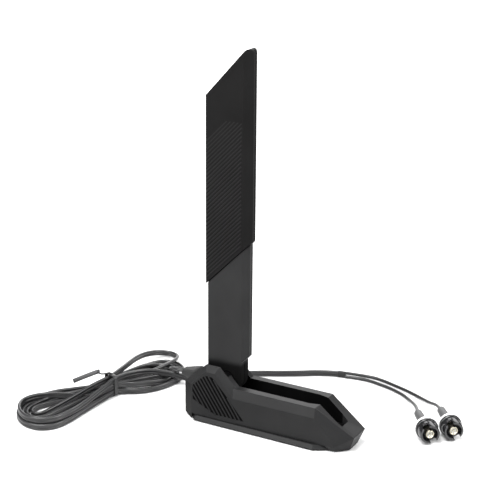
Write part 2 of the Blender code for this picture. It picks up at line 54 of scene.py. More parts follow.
# %% [markdown]
# ## Camera
#
# The camera stands to the right of the base's near side and looks down a little. A long lens
# keeps the tall blade's sides nearly parallel. The place and the target are both measured from
# the middle of the base, and a small roll is turned about the camera's own line of sight.

# %% Place the camera
CAMERA_PLACE = Vector((321.2, -609.6, 335.5)) * MM
CAMERA_TARGET = Vector((-15.15, -1.45, 99.5)) * MM
CAMERA_ROLL = math.radians(0.55)

lens = bpy.data.cameras.new("studio_camera")
lens.lens, lens.sensor_width = 100.8, 36.0
lens.clip_start, lens.clip_end = 0.05, 20.0
camera = bpy.data.objects.new("studio_camera", lens)
bpy.context.scene.collection.objects.link(camera)
looking = (CAMERA_TARGET - CAMERA_PLACE).to_track_quat("-Z", "Y")
camera.location = CAMERA_PLACE
camera.rotation_mode = "QUATERNION"
camera.rotation_quaternion = looking @ Quaternion((0, 0, 1), CAMERA_ROLL)
bpy.context.scene.camera = camera
print("camera distance, m:", round((CAMERA_TARGET - CAMERA_PLACE).length, 3))

# %% [markdown]
# ## Small helpers
#
# A finished piece has its object at the origin with its place in its mesh, as the CAD's own
# nodes do. `add_mesh` makes such an object. `settle` bakes a stack of modifiers and a placing
# matrix into the mesh, for pieces that are made about their own origin. `dress` gives a piece
# its material and the body it rides on, and hides the CAD nodes it stands for. `slab`
# and `tube_faces` hold the two ways in which outlines are joined into closed shapes.

# %% Helpers for every piece
def add_mesh(name, verts, faces, smooth=True):
    mesh = bpy.data.meshes.new(name)
    mesh.from_pydata([tuple(v) for v in verts], [], faces)
    mesh.validate()
    obj = bpy.data.objects.new(name, mesh)
    bpy.context.scene.collection.objects.link(obj)
    face_outwards(mesh)
    if smooth:
        mesh.shade_smooth()
    return obj


def face_outwards(mesh, merge=1e-6):
    bm = bmesh.new()
    bm.from_mesh(mesh)
    bmesh.ops.remove_doubles(bm, verts=bm.verts, dist=merge)
    bmesh.ops.recalc_face_normals(bm, faces=bm.faces)
    bm.to_mesh(mesh)
    bm.free()


def slab(name, front, back):
    """Two matching outlines, each closed by a flat face, joined along their edges."""
    count = len(front)
    faces = [tuple(range(count)), tuple(range(count, 2 * count))]
    faces += [(i, (i + 1) % count, count + (i + 1) % count, count + i) for i in range(count)]
    return add_mesh(name, [*front, *back], faces, smooth=False)


def tube_faces(count, rings):
    """Faces for `rings` outlines of `count` points in a row, with both ends capped."""
    faces = [(r * count + i, r * count + (i + 1) % count, (r + 1) * count + (i + 1) % count,
              (r + 1) * count + i) for r in range(rings - 1) for i in range(count)]
    return faces + [tuple(range(count)), tuple(range((rings - 1) * count, rings * count))]


def settle(obj, place=Matrix.Identity(4)):
    """Bakes the modifiers and then a placing matrix into the mesh."""
    bpy.context.view_layer.update()
    seen = obj.evaluated_get(bpy.context.evaluated_depsgraph_get())
    mesh = bpy.data.meshes.new_from_object(seen)
    obj.modifiers.clear()
    obj.data = mesh
    mesh.transform(place @ obj.matrix_basis)
    obj.matrix_basis = Matrix.Identity(4)
    return obj


def cut(obj, tool):
    """A Boolean names another object, so it is applied at once and its tool is removed."""
    boolean = obj.modifiers.new("cut", "BOOLEAN")
    boolean.operation, boolean.solver, boolean.object = "DIFFERENCE", "EXACT", tool
    settle(obj)
    bpy.data.objects.remove(tool)
    return obj


def soften(obj, width_mm, segments=2, angle=24):
    """A live Bevel rounds the hard edges, and normals weighted by area keep the flats flat."""
    bevel = obj.modifiers.new("soft_edges", "BEVEL")
    bevel.width, bevel.segments = width_mm * MM, segments
    bevel.limit_method, bevel.angle_limit = "ANGLE", math.radians(angle)
    bevel.miter_outer = "MITER_ARC"
    bevel.use_clamp_overlap = True
    obj.data.shade_smooth()
    weighted = obj.modifiers.new("flat_faces", "WEIGHTED_NORMAL")
    weighted.keep_sharp = True
    weighted.weight = 90
    return obj


def dress(obj, material, body="base", replaces=()):
    obj.data.materials.clear()
    obj.data.materials.append(material)
    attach(obj, body)
    if replaces:
        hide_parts(*replaces)
    return obj


def copy_of(node, name):
    """A CAD node's loose triangles, merged and cleaned into the flat facets they came from."""
    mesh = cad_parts[node].data.copy()
    mesh.name = name
    bm = bmesh.new()
    bm.from_mesh(mesh)
    bmesh.ops.remove_doubles(bm, verts=bm.verts, dist=2e-6)
    bmesh.ops.dissolve_limit(bm, angle_limit=math.radians(1.0), verts=bm.verts, edges=bm.edges)
    bm.to_mesh(mesh)
    bm.free()
    obj = bpy.data.objects.new(name, mesh)
    bpy.context.scene.collection.objects.link(obj)
    return obj


def smooth_line(points, per_span):
    """A Catmull-Rom curve through points of any dimension, with its ends kept."""
    points = np.array(points, float)
    points = np.vstack([2 * points[0] - points[1], points, 2 * points[-1] - points[-2]])
    made = []
    for p0, p1, p2, p3 in zip(points, points[1:], points[2:], points[3:]):
        for t in np.arange(per_span) / per_span:
            made.append(0.5 * (2 * p1 + (p2 - p0) * t + (2 * p0 - 5 * p1 + 4 * p2 - p3) * t**2
                               + (3 * p1 - p0 - 3 * p2 + p3) * t**3))
    made.append(points[-2])
    return np.array(made)


def length_of(line):
    return float(np.linalg.norm(np.diff(line[:, :3], axis=0), axis=1).sum())


print("helpers ready")

# %% [markdown]
# ## Surfaces
#
# Every finish here is moulded, extruded or plated, and what tells them apart is how fine
# their grain is and how evenly they shine. So the grain is one shader group with named
# inputs, and each material sets its own size and depth. The group gives out a normal, and two
# masks that vary over the surface: a slow one for tone and a fine one for roughness.
# The Principled shader stays in each material.
#
# Black plastic shows little of its own colour and much of the pale floor, so its brightness
# is set mostly by `Specular IOR Level`. The ribs are lighter than what lies behind them: the
# cover's rib crests carry painted light, and on the base a near-black backing is painted
# shade in the grooves, since grooves this fine only read when clearly darker than their ribs.

# %% The shared grain group
def make_grain_group():
    group = bpy.data.node_groups.new("moulded_grain", "ShaderNodeTree")
    socket = group.interface.new_socket
    for name, default in (("Grain Size", 0.35), ("Grain Depth", 0.3), ("Patch Size", 25.0)):
        made = socket(name=name, in_out="INPUT", socket_type="NodeSocketFloat")
        made.default_value = default
    socket(name="Normal", in_out="OUTPUT", socket_type="NodeSocketVector")
    socket(name="Fine", in_out="OUTPUT", socket_type="NodeSocketFloat")
    socket(name="Patches", in_out="OUTPUT", socket_type="NodeSocketFloat")
    nodes, links = group.nodes, group.links
    inside, outside = nodes.new("NodeGroupInput"), nodes.new("NodeGroupOutput")
    place = nodes.new("ShaderNodeTexCoord")

    def noise_of_size(size_socket, detail):
        scale = nodes.new("ShaderNodeMath")
        scale.operation = "DIVIDE"
        scale.inputs[0].default_value = 1000.0
        noise = nodes.new("ShaderNodeTexNoise")
        noise.inputs["Detail"].default_value = detail
        links.new(size_socket, scale.inputs[1])
        links.new(scale.outputs[0], noise.inputs["Scale"])
        links.new(place.outputs["Object"], noise.inputs["Vector"])
        return noise

    grain = noise_of_size(inside.outputs["Grain Size"], 2.0)
    patches = noise_of_size(inside.outputs["Patch Size"], 3.0)
    bump = nodes.new("ShaderNodeBump")
    bump.inputs["Distance"].default_value = 0.0001
    links.new(inside.outputs["Grain Depth"], bump.inputs["Strength"])
    links.new(grain.outputs[0], bump.inputs["Height"])
    links.new(bump.outputs["Normal"], outside.inputs["Normal"])
    links.new(grain.outputs[0], outside.inputs["Fine"])
    links.new(patches.outputs[0], outside.inputs["Patches"])
    return group


moulded_grain = make_grain_group()
print("group outputs:", [s.name for s in moulded_grain.nodes["Group Output"].inputs][:-1])


# %% A material built on the grain
def grained(name, dark, light, rough=(0.4, 0.55), grain=0.35, depth=0.3, patch=25.0, **constants):
    """Colour runs from dark to light over slow patches, and roughness over the fine grain."""
    material = bpy.data.materials.new(name)
    material.use_nodes = True
    nodes, links = material.node_tree.nodes, material.node_tree.links
    shader = nodes["Principled BSDF"]
    surface = nodes.new("ShaderNodeGroup")
    surface.node_tree = moulded_grain
    surface.inputs["Grain Size"].default_value = grain
    surface.inputs["Grain Depth"].default_value = depth
    surface.inputs["Patch Size"].default_value = patch
    tone = nodes.new("ShaderNodeMapRange")
    tone.inputs["From Min"].default_value, tone.inputs["From Max"].default_value = 0.35, 0.65
    mix = nodes.new("ShaderNodeMix")
    mix.data_type = "RGBA"
    mix.inputs["A"].default_value, mix.inputs["B"].default_value = (*dark, 1), (*light, 1)
    rough_range = nodes.new("ShaderNodeMapRange")
    rough_range.inputs["To Min"].default_value, rough_range.inputs["To Max"].default_value = rough
    links.new(surface.outputs["Patches"], tone.inputs["Value"])
    links.new(tone.outputs["Result"], mix.inputs["Factor"])
    links.new(mix.outputs["Result"], shader.inputs["Base Color"])
    links.new(surface.outputs["Fine"], rough_range.inputs["Value"])
    links.new(rough_range.outputs["Result"], shader.inputs["Roughness"])
    links.new(surface.outputs["Normal"], shader.inputs["Normal"])
    for socket, value in constants.items():
        shader.inputs[socket.replace("_", " ")].default_value = value
    return material


housing_plastic = grained("housing_plastic", (0.0095, 0.0095, 0.0098), (0.0125, 0.0125, 0.0128),
                          rough=(0.36, 0.52), grain=0.30, depth=0.25, Specular_IOR_Level=0.12)
stem_plastic = grained("stem_plastic", (0.0125, 0.0125, 0.0128), (0.0155, 0.0155, 0.0158),
                       rough=(0.38, 0.54), grain=0.28, depth=0.22, Specular_IOR_Level=0.11)
cover_plastic = grained("cover_plastic", (0.0052, 0.0051, 0.0051), (0.0072, 0.0070, 0.0071),
                        rough=(0.40, 0.56), grain=0.26, depth=0.2, patch=40.0, Specular_IOR_Level=0.05)
rib_crest = grained("rib_crest", (0.009, 0.009, 0.0092), (0.012, 0.012, 0.0122),
                    rough=(0.36, 0.50), grain=0.3, depth=0.2, Specular_IOR_Level=0.10)
# Lighter and shinier than the cover's own plastic: painted light on the crests of its ribs.
painted_light_cover_crest = grained("painted_light_cover_crest", (0.0085, 0.0083, 0.0084), (0.0110, 0.0108, 0.0109),
                      rough=(0.38, 0.52), grain=0.26, depth=0.2, patch=40.0, Specular_IOR_Level=0.10)
# A near-black painted shade: it backs the cheek ribs and fills the trough's walls and floor and the blade's
# seam.
painted_shade_black = grained("painted_shade_black", (0.002, 0.002, 0.0021), (0.003, 0.003, 0.0031),
                      rough=(0.6, 0.75), grain=0.3, depth=0.2, Specular_IOR_Level=0.0)
boot_rubber = grained("boot_rubber", (0.012, 0.012, 0.012), (0.018, 0.018, 0.018),
                      rough=(0.50, 0.68), grain=0.4, depth=0.35, Specular_IOR_Level=0.3)
pad_rubber = grained("pad_rubber", (0.010, 0.010, 0.010), (0.016, 0.016, 0.016),
                     rough=(0.70, 0.90), grain=0.8, depth=0.6)
jacket_vinyl = grained("jacket_vinyl", (0.011, 0.011, 0.0115), (0.017, 0.017, 0.0175),
                       rough=(0.28, 0.40), grain=0.9, depth=0.2, patch=12.0, Specular_IOR_Level=0.5)
sleeve_rubber = grained("sleeve_rubber", (0.052, 0.052, 0.053), (0.066, 0.066, 0.067),
                        rough=(0.50, 0.66), grain=0.35, depth=0.3, patch=6.0)
ring_plastic = grained("ring_plastic", (0.80, 0.80, 0.79), (0.86, 0.86, 0.85),
                       rough=(0.35, 0.48), grain=0.3, depth=0.1, patch=8.0)
collar_plastic = grained("collar_plastic", (0.008, 0.008, 0.009), (0.012, 0.012, 0.013),
                         rough=(0.12, 0.24), grain=0.5, depth=0.06, patch=10.0, Coat_Weight=0.35)
tie_plastic = grained("tie_plastic", (0.014, 0.014, 0.0145), (0.020, 0.020, 0.0205),
                      rough=(0.30, 0.45), grain=0.5, depth=0.3, patch=5.0)
contact_plating = grained("contact_plating", (0.44, 0.41, 0.32), (0.52, 0.49, 0.40),
                          rough=(0.20, 0.34), grain=0.25, depth=0.2, patch=3.0, Metallic=1.0)
insulator_plastic = grained("insulator_plastic", (0.50, 0.49, 0.45), (0.56, 0.55, 0.51),
                            rough=(0.45, 0.6), grain=0.3, depth=0.1, patch=4.0)
blackened_steel = grained("blackened_steel", (0.030, 0.030, 0.032), (0.045, 0.045, 0.047),
                          rough=(0.30, 0.45), grain=0.4, depth=0.3, patch=6.0, Metallic=1.0)
plain_steel = grained("plain_steel", (0.50, 0.50, 0.51), (0.60, 0.60, 0.61),
                      rough=(0.25, 0.42), grain=0.4, depth=0.3, patch=8.0, Metallic=1.0)
magnet_nickel = grained("magnet_nickel", (0.56, 0.56, 0.54), (0.63, 0.63, 0.61),
                        rough=(0.15, 0.28), grain=0.5, depth=0.15, patch=6.0, Metallic=1.0)
board_mask = grained("board_mask", (0.010, 0.055, 0.028), (0.015, 0.075, 0.038),
                     rough=(0.30, 0.42), grain=0.5, depth=0.2, patch=9.0)
band_copper = grained("band_copper", (0.62, 0.30, 0.17), (0.70, 0.38, 0.24),
                      rough=(0.25, 0.40), grain=0.4, depth=0.2, patch=5.0, Metallic=1.0)

# %% Painted shade on the foot of the stem, deep between the hinge cheeks
def paint_shade_below(material, level, fade, tilt=0.0):
    """Painted shade: near black below `level` and unchanged from `fade` higher, both in millimetres."""
    nodes, links = material.node_tree.nodes, material.node_tree.links
    shader = nodes["Principled BSDF"]
    place, axes = nodes.new("ShaderNodeTexCoord"), nodes.new("ShaderNodeSeparateXYZ")
    lean, ramp = nodes.new("ShaderNodeMath"), nodes.new("ShaderNodeMapRange")
    lean.operation = "MULTIPLY_ADD"
    lean.inputs[1].default_value = tilt
    ramp.inputs["From Min"].default_value = level * MM
    ramp.inputs["From Max"].default_value = (level + fade) * MM
    ramp.interpolation_type = "SMOOTHSTEP"
    dark, dull = nodes.new("ShaderNodeMix"), nodes.new("ShaderNodeMix")
    dark.data_type = "RGBA"
    # The near-black colour is painted shade for the foot between the cheeks, and the roughness rises to 0.95
    # with it.
    dark.inputs["A"].default_value = (0.0006, 0.0006, 0.0007, 1)
    dull.data_type = "FLOAT"
    dull.inputs["A"].default_value = 0.95
    colour = shader.inputs["Base Color"].links[0].from_socket
    rough = shader.inputs["Roughness"].links[0].from_socket
    links.new(place.outputs["Object"], axes.inputs["Vector"])
    links.new(axes.outputs["X"], lean.inputs[0])
    links.new(axes.outputs["Z"], lean.inputs[2])
    links.new(lean.outputs[0], ramp.inputs["Value"])
    links.new(ramp.outputs["Result"], dark.inputs["Factor"])
    links.new(ramp.outputs["Result"], dull.inputs["Factor"])
    links.new(colour, dark.inputs["B"])
    links.new(rough, dull.inputs["B"])
    links.new(dark.outputs["Result"], shader.inputs["Base Color"])
    links.new(dull.outputs["Result"], shader.inputs["Roughness"])


# Painted shade on the stem's foot, where it goes down between the cheeks.
paint_shade_below(stem_plastic, level=33.0, fade=4.0, tilt=-0.04)
print("finishes:", len([m for m in bpy.data.materials if m.use_nodes]))

# %% Finishes for the CAD nodes that stay
NODE_FINISHES = {
    "base_pad": pad_rubber,
    "ballast_plate": plain_steel, "cable_clamp": plain_steel,
    "base_screw_1": plain_steel, "base_screw_2": plain_steel,
    "base_screw_3": plain_steel, "base_screw_4": plain_steel,
    "magnet_rear": magnet_nickel, "magnet_front": magnet_nickel,
    "hinge_bracket": blackened_steel, "hinge_pin": blackened_steel, "hinge_hub": blackened_steel,
    "friction_washer_near": blackened_steel, "friction_washer_far": blackened_steel,
    "radiator_board": board_mask, "radiator_low_band": band_copper, "radiator_high_band": band_copper,
    "base_coax_a": jacket_vinyl, "base_coax_b": jacket_vinyl,
    "blade_coax_a": jacket_vinyl, "blade_coax_b": jacket_vinyl,
}
for node, finish in NODE_FINISHES.items():
    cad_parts[node].data.materials.clear()
    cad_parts[node].data.materials.append(finish)
print("CAD nodes kept:", len(NODE_FINISHES))

# %% [markdown]
# ## The twin cord
#
# The cord is two thin coaxial cables side by side in one jacket, so its section is a figure
# of eight, 3.6 mm by 1.8 mm. It bends easily across its thin way only, which is why a wound
# hank of it stands on edge. A round curve bevel can't show that, so the section is swept by
# hand along the cord's route. The route is one line from the boot to the split, through the
# tie ten times: five long loops on one side and four short ones on the other.
#
# At the tie the ten passes are stacked in four columns and three rows, a cord's width
# apart. Elsewhere each loop is written as its own few points, in millimetres. A fourth number
# turns the section: 0 stands on edge and 90 lies flat.

# %% The route of the twin cord
TIE_CENTRE = Vector((-100.4, -8.8, 0.0))
COLUMN_PITCH = 2.1
ACROSS_BUNDLE = Vector((0.951, -0.309, 0.0))
ROW_HEIGHTS = {"low": 2.6, "middle": 6.3, "top": 10.0}


def through_tie(column, row):
    place = TIE_CENTRE + ACROSS_BUNDLE * column * COLUMN_PITCH
    return (place.x, place.y, ROW_HEIGHTS[row])


TWIN_ROUTE = [
    # out of the boot, down and flat over the short loops
    (-57.4, 0.0, 21.1, 90), (-61.6, 0.3, 21.0, 90), (-65.8, 2.4, 19.6, 90), (-69.6, 7.6, 16.6, 90),
    (-72.4, 14.8, 12.6, 90), (-75.4, 21.8, 8.6, 90), (-80.0, 27.6, 6.0, 90), (-86.6, 31.2, 5.0, 90),
    (-93.4, 31.0, 4.8, 70), (-98.2, 25.4, 5.4, 30), (-100.8, 15.0, 5.8), (-102.6, 3.0, 6.2),
    # first long loop, the outermost
    through_tie(-1.5, "middle"), (-107.0, -16.2, 5.8), (-114.0, -24.0, 5.6), (-122.0, -32.0, 5.2),
    (-129.0, -40.8, 3.6), (-131.3, -51.0, 1.9), (-126.6, -60.6, 1.9), (-117.4, -66.8, 1.9),
    (-107.8, -67.0, 1.9), (-101.2, -61.2, 1.9), (-99.0, -51.0, 1.9), (-99.0, -38.0, 1.9),
    (-98.8, -23.0, 2.0),
    # first short loop
    through_tie(1.5, "low"), (-93.6, -5.0, 2.0), (-88.6, -1.8, 1.9), (-83.2, 3.4, 1.9), (-79.4, 10.0, 1.9),
    (-77.0, 18.0, 1.9), (-76.4, 26.6, 1.9), (-78.8, 34.6, 1.9), (-84.6, 40.6, 1.9), (-92.4, 42.6, 1.9),
    (-99.0, 39.0, 1.9), (-102.6, 30.6, 1.9), (-104.0, 18.6, 1.9), (-104.4, 4.0, 2.1),
    # second long loop, just inside the first
    through_tie(-1.5, "low"), (-106.8, -16.4, 2.0), (-113.6, -24.4, 1.9), (-121.4, -32.6, 1.9),
    (-127.2, -41.0, 1.9), (-128.9, -50.4, 1.9), (-124.6, -58.8, 1.9), (-117.0, -64.2, 1.9),
    (-109.0, -64.4, 1.9), (-103.6, -59.4, 1.9), (-101.3, -50.4, 1.9), (-101.2, -38.0, 2.8),
    (-100.9, -23.0, 4.4),
    # second short loop, on top of the first and then inside it
    through_tie(1.5, "middle"), (-93.8, -4.6, 5.8), (-88.9, -1.2, 5.6), (-84.0, 4.4, 5.2), (-80.8, 10.8, 4.2),
    (-79.4, 18.0, 2.6), (-79.2, 25.6, 1.9), (-81.8, 32.4, 1.9), (-87.6, 36.6, 1.9), (-93.6, 35.8, 1.9),
    (-98.0, 30.0, 1.9), (-101.2, 19.0, 1.9), (-102.3, 5.0, 2.1),
    # third long loop, the innermost
    through_tie(-0.5, "low"), (-104.4, -17.6, 2.0), (-109.8, -26.6, 1.9), (-117.0, -35.2, 1.9),
    (-122.6, -43.8, 1.9), (-123.4, -51.2, 1.9), (-119.8, -55.8, 2.1), (-115.2, -54.4, 2.7),
    (-112.0, -45.0, 4.0), (-108.6, -32.4, 6.0), (-105.0, -20.0, 8.4),
    # the arch that stands up from the tie and comes back lying flat
    through_tie(-0.5, "top"), (-102.4, 3.0, 9.8), (-104.6, 14.0, 8.8), (-107.2, 27.0, 7.4),
    (-108.4, 38.6, 5.4), (-106.4, 48.0, 3.6), (-100.4, 52.8, 2.6), (-94.0, 50.4, 3.2, 10),
    (-89.4, 43.8, 5.2, 30), (-87.4, 35.6, 6.8, 60), (-88.2, 27.2, 6.9, 70), (-91.6, 17.0, 6.2, 50),
    (-96.8, 4.6, 6.2, 20),
    # fourth long loop
    through_tie(-0.5, "middle"), (-104.0, -17.4, 5.8), (-110.6, -26.0, 5.4), (-118.6, -34.4, 4.4),
    (-124.8, -42.8, 2.8), (-126.1, -51.2, 1.9), (-122.4, -57.8, 1.9), (-116.0, -59.6, 1.9),
    (-111.4, -54.2, 2.0), (-108.8, -43.4, 2.6), (-105.6, -31.4, 3.4), (-102.0, -20.0, 5.2),
    # third short loop, inside the other two
    through_tie(0.5, "middle"), (-95.4, -2.2, 5.6), (-91.4, 4.2, 5.4), (-87.8, 10.6, 5.1), (-84.6, 16.4, 4.7),
    (-82.6, 22.6, 3.4), (-84.0, 28.8, 2.0), (-88.8, 32.6, 1.9), (-93.4, 30.8, 1.9), (-96.2, 25.0, 1.9),
    (-98.4, 16.0, 1.9), (-100.0, 4.0, 2.1), through_tie(0.5, "low"),
    # fifth long loop, stacked on the first
    (-103.8, -20.0, 2.6), (-110.0, -28.8, 4.6), (-119.6, -36.6, 6.2),
    (-127.6, -43.2, 5.9), (-130.3, -51.4, 5.6), (-126.0, -60.2, 5.6), (-117.2, -66.2, 5.6),
    (-108.2, -66.2, 5.6), (-102.0, -60.4, 5.6), (-99.6, -51.0, 5.6), (-98.9, -38.0, 6.0),
    (-98.4, -23.0, 8.0),
    # along the top of the bundle and down to the floor behind the base
    through_tie(1.5, "top"), (-95.2, 0.4, 9.7), (-91.6, 8.6, 9.0), (-87.0, 14.2, 8.2), (-80.8, 18.2, 7.0),
    (-73.0, 22.0, 5.4), (-67.4, 24.8, 3.4), (-62.4, 29.4, 2.1), (-59.0, 35.4, 1.9), (-56.2, 40.8, 1.9),
    (-51.4, 46.6, 1.9), (-42.4, 53.8, 1.9), (-34.0, 58.8, 1.9), (-26.4, 63.2, 1.9), (-19.0, 67.8, 1.9),
    (-13.0, 71.9, 1.9), (-8.6, 74.5, 1.9), (-3.6, 76.9, 1.9), (1.0, 78.4, 1.9),
]
route = [(*(np.array(p[:3]) * MM), p[3] if len(p) > 3 else 0.0) for p in TWIN_ROUTE]
twin_line = smooth_line(route, 8)
print("twin cord, mm:", round(length_of(twin_line) / MM), "with", len(TWIN_ROUTE), "route points")


# %% Sweep a section along a line
def sweep(name, line, section):
    """`line` rows are x, y, z and a turn in degrees; `section` points are (sideways, upwards)."""
    places = line[:, :3]
    along = np.gradient(places, axis=0)
    along /= np.linalg.norm(along, axis=1)[:, None]
    side = np.cross(along, (0.0, 0.0, 1.0))
    side /= np.linalg.norm(side, axis=1)[:, None]
    up = np.cross(side, along)
    turn = np.radians(line[:, 3])[:, None]
    across = side * np.cos(turn) + up * np.sin(turn)
    over = up * np.cos(turn) - side * np.sin(turn)
    verts = [p + a * x + o * y for p, a, o in zip(places, across, over) for x, y in section]
    return add_mesh(name, verts, tube_faces(len(section), len(line)))


def twin_section(radius, waist):
    """Two round strands one above the other, joined by a narrower web."""
    top = [(radius * math.cos(a), radius + radius * math.sin(a))
           for a in np.radians(np.linspace(-35, 215, 10))]
    bottom = [(-x, -y) for x, y in top]
    return top + [(-waist, 0)] + bottom + [(waist, 0)]


STRAND_RADIUS, WEB_HALF = 0.9, 0.48
twin = sweep("cord_twin", twin_line, twin_section(STRAND_RADIUS * MM, WEB_HALF * MM))
dress(twin, jacket_vinyl, replaces=("cord_run_out", "cord_hank", "cord_run_back"))
print("twin cord faces:", len(twin.data.polygons))

# %% [markdown]
# ## The split and the two leads
#
# A short moulded sleeve holds the jacket together where the twin cord parts. It starts as
# flat as the cord and widens to take the two round leads, so it is lofted through a few
# rounded rectangles. Each lead is a plain round cable, made as one open spline with a bevel,
# the simplest thing that gives a true round cord.

# %% Loft through rounded rectangles
def rounded_rectangle(half_wide, half_high, corner, steps=4):
    points = []
    for quarter, (sx, sy) in enumerate(((1, 1), (-1, 1), (-1, -1), (1, -1))):
        for i in range(steps + 1):
            a = math.radians(90 * quarter + 90 * i / steps)
            points.append((sx * (half_wide - corner) + corner * math.cos(a),
                           sy * (half_high - corner) + corner * math.sin(a)))
    return points


def loft(name, sections):
    """Each section is (centre, sideways, upwards, outline), all in metres."""
    verts = [Vector(centre) + Vector(side) * x + Vector(up) * y
             for centre, side, up, outline in sections for x, y in outline]
    return add_mesh(name, verts, tube_faces(len(sections[0][3]), len(sections)))


SPLIT_START, SPLIT_END = Vector((0.9, 78.4, 1.9)) * MM, Vector((5.3, 79.5, 1.9)) * MM
split_along = (SPLIT_END - SPLIT_START).normalized()
split_side = split_along.cross(Vector((0, 0, 1)))
# share of the length, half width, half height and corner radius
split_sizes = [(0.00, 1.0, 1.88, 0.85), (0.08, 1.1, 1.9, 0.9), (0.60, 1.1, 1.9, 0.9), (0.95, 1.05, 1.9, 0.9),
               (1.00, 0.95, 1.8, 0.8)]
split = loft("cord_split_sleeve", [
    (SPLIT_START.lerp(SPLIT_END, share), split_side, (0, 0, 1),
     rounded_rectangle(wide * MM, high * MM, corner * MM)) for share, wide, high, corner in split_sizes])
dress(split, boot_rubber, replaces=("cord_split",))
print("split sleeve, mm:", [round(v / MM, 1) for v in split.dimensions])

# %% The two leads
LEAD_DIAMETER = 1.8
LEAD_ROUTES = {
    "a": [(5.2, 79.0, 0.95), (9.5, 79.9, 0.95), (15.0, 80.6, 0.95), (20.6, 80.5, 0.95), (26.2, 79.3, 0.95),
          (32.0, 77.8, 0.95), (37.4, 75.9, 0.95), (44.4, 72.4, 1.0), (50.7, 67.4, 1.3), (56.5, 60.4, 2.8),
          (61.2, 52.4, 5.0), (65.2, 44.4, 6.25)],
    "b": [(5.2, 79.8, 2.8), (8.6, 81.4, 2.4), (12.4, 83.8, 1.6), (16.6, 85.6, 1.05), (21.0, 85.9, 0.95),
          (27.4, 84.6, 0.95), (34.8, 82.2, 0.95), (44.6, 78.6, 0.95), (54.0, 74.0, 1.1), (62.3, 68.0, 2.3),
          (69.2, 61.6, 4.7), (74.6, 54.6, 6.25)],
}


def round_cord(name, points_mm, diameter_mm):
    curve = bpy.data.curves.new(name, "CURVE")
    curve.dimensions = "3D"
    curve.bevel_depth, curve.bevel_resolution = diameter_mm / 2 * MM, 4
    curve.use_fill_caps = True
    line = smooth_line(np.array(points_mm) * MM, 6)
    spline = curve.splines.new("POLY")
    spline.points.add(len(line) - 1)
    for point, place in zip(spline.points, line):
        point.co = (*place, 1.0)
    spline.use_smooth = True
    obj = bpy.data.objects.new(name, curve)
    bpy.context.scene.collection.objects.link(obj)
    return obj, line


leads = {}
for letter, points in LEAD_ROUTES.items():
    leads[letter], line = round_cord(f"lead_{letter}_cord", points, LEAD_DIAMETER)
    dress(leads[letter], jacket_vinyl, replaces=(f"lead_{letter}",))
    leads[letter]["length"] = length_of(line)
    print("lead", letter, "mm:", round(length_of(line) / MM))

# %% [markdown]
# ## The tie
#
# A flat plastic-coated wire goes once round the bundle, and one end is left as a short tail.
# The band is a closed ring between two rounded rectangles just outside the stacked passes.
# The wire that leaves it and the flat tail are swept along their routes, as the cord is.

# %% The tie's band and tail
ALONG_BUNDLE = Vector((0.309, 0.951, 0.0))


def by_the_tie(across, along, height):
    return (TIE_CENTRE + ACROSS_BUNDLE * across + ALONG_BUNDLE * along + Vector((0, 0, height))) * MM


BUNDLE_MIDDLE = 6.4


def band_round_bundle():
    inner = rounded_rectangle(4.2, 5.65, 1.6, steps=5)
    outer = rounded_rectangle(4.75, 6.2, 2.1, steps=5)
    verts, loops = [], []
    for outline, half in ((inner, 1.25), (inner, -1.25), (outer, -1.1), (outer, 1.1)):
        loops.append(len(verts))
        verts += [by_the_tie(x, half, y + BUNDLE_MIDDLE) for x, y in outline]
    count = len(inner)
    faces = []
    for first, second in zip(loops, loops[1:] + loops[:1]):
        faces += [(first + i, first + (i + 1) % count, second + (i + 1) % count, second + i)
                  for i in range(count)]
    return add_mesh("tie_band", verts, faces)


tie_band = band_round_bundle()
tie_bevel = tie_band.modifiers.new("soft_edges", "BEVEL")
tie_bevel.width, tie_bevel.segments, tie_bevel.limit_method = 0.15 * MM, 2, "ANGLE"
dress(tie_band, tie_plastic, replaces=("twist_tie",))

WIRE_ROUTE = [(-99.6, -8.4, 12.5, 0), (-101.4, -9.2, 13.1, 0), (-103.4, -10.4, 12.7, 0),
              (-105.4, -11.2, 12.4, 0), (-107.2, -11.0, 12.5, 0), (-108.4, -10.6, 12.5, 0)]
TAIL_ROUTE = [(-107.9, -9.2, 12.6, 60), (-109.0, -10.8, 12.6, 60), (-110.6, -14.6, 12.3, 62),
              (-112.4, -19.8, 12.0, 64), (-114.2, -26.0, 11.7, 64)]


def tie_sweep(name, route, half_wide, half_thick):
    line = smooth_line([(*(np.array(p[:3]) * MM), p[3]) for p in route], 6)
    outline = rounded_rectangle(half_wide, half_thick, half_thick * 0.9, 3)
    strip = sweep(name, line, [(x * MM, y * MM) for x, y in outline])
    return dress(strip, tie_plastic), line


tie_wire = tie_sweep("tie_wire", WIRE_ROUTE, 0.45, 0.42)[0]
tie_tail, tail_line = tie_sweep("tie_tail", TAIL_ROUTE, 1.25, 0.36)
print("tie tail, mm:", round(length_of(tail_line) / MM, 1))

# %% [markdown]
# ## The push-on plugs
#
# Each plug is a stack of turned pieces on one axis: a grey strain-relief sleeve, a white ring
# that marks the plug, a glossy collar to grip, a thinner skirt with two slots that lets it
# spring over a socket's thread, and a plated barrel round an insulator and a centre pin. A
# Screw modifier turns each one from half of its section. It works about the object's own
# origin, so a plug is made there with its mouth at zero, and its place is applied afterwards.

# %% Turn a profile with the Screw modifier
PLUG_TURN = math.radians(-53.5)
PLUG_HEIGHT = 6.25
PLUG_MOUTHS = {"a": (81.6, 22.2), "b": (91.0, 32.4)}


